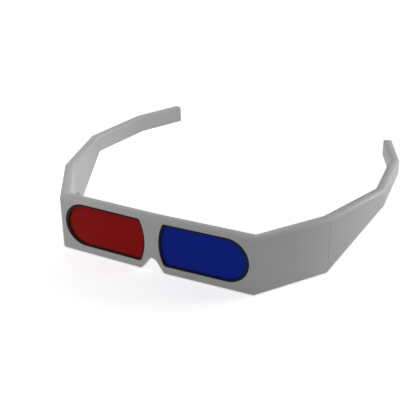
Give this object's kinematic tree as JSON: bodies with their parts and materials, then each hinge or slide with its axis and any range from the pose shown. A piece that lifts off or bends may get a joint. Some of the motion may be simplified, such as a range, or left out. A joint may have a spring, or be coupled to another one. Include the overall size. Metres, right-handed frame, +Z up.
{
  "type": "3d glasses",
  "caption": "Red and blue stereo viewing glasses: hollow moulded front with wrap-round wings, black-rimmed colour filters and tapering temples that fold behind the front.",
  "frame": {"origin": "middle of the whole part's footprint, on the level that the base edge of the front and wings stands on", "axes": "+Z up; the wearer looks along -Y through the front; +X to the wearer's left, across both windows"},
  "size_m": [0.2072, 0.1756, 0.0338],
  "materials": {
    "frame_plastic": "fine moulded texture, light grey-white",
    "red_filter": "tinted clear sheet, deep red",
    "blue_filter": "tinted clear sheet, deep blue",
    "gasket": "black elastomer",
    "steel": "plain steel"
  },
  "bodies": {
    "front": {"front_shell": "frame_plastic", "front_cover": "frame_plastic", "cover_screws": "steel", "red_filter": "red_filter", "blue_filter": "blue_filter", "red_gasket": "gasket", "blue_gasket": "gasket", "left_hinge_pin": "steel", "right_hinge_pin": "steel"},
    "left_temple": {"left_temple_shell": "frame_plastic", "left_temple_cover": "frame_plastic"},
    "right_temple": {"right_temple_shell": "frame_plastic", "right_temple_cover": "frame_plastic"}
  },
  "joints": [
    {"name": "left_fold", "type": "hinge", "parent": "front", "child": "left_temple", "pos_m": [0.08333, -0.04318, 0.0066], "axis": [0, 0, 1], "range_deg": [0, 100]},
    {"name": "right_fold", "type": "hinge", "parent": "front", "child": "right_temple", "pos_m": [-0.08333, -0.04318, 0.0066], "axis": [0, 0, -1], "range_deg": [0, 80]}
  ]
}
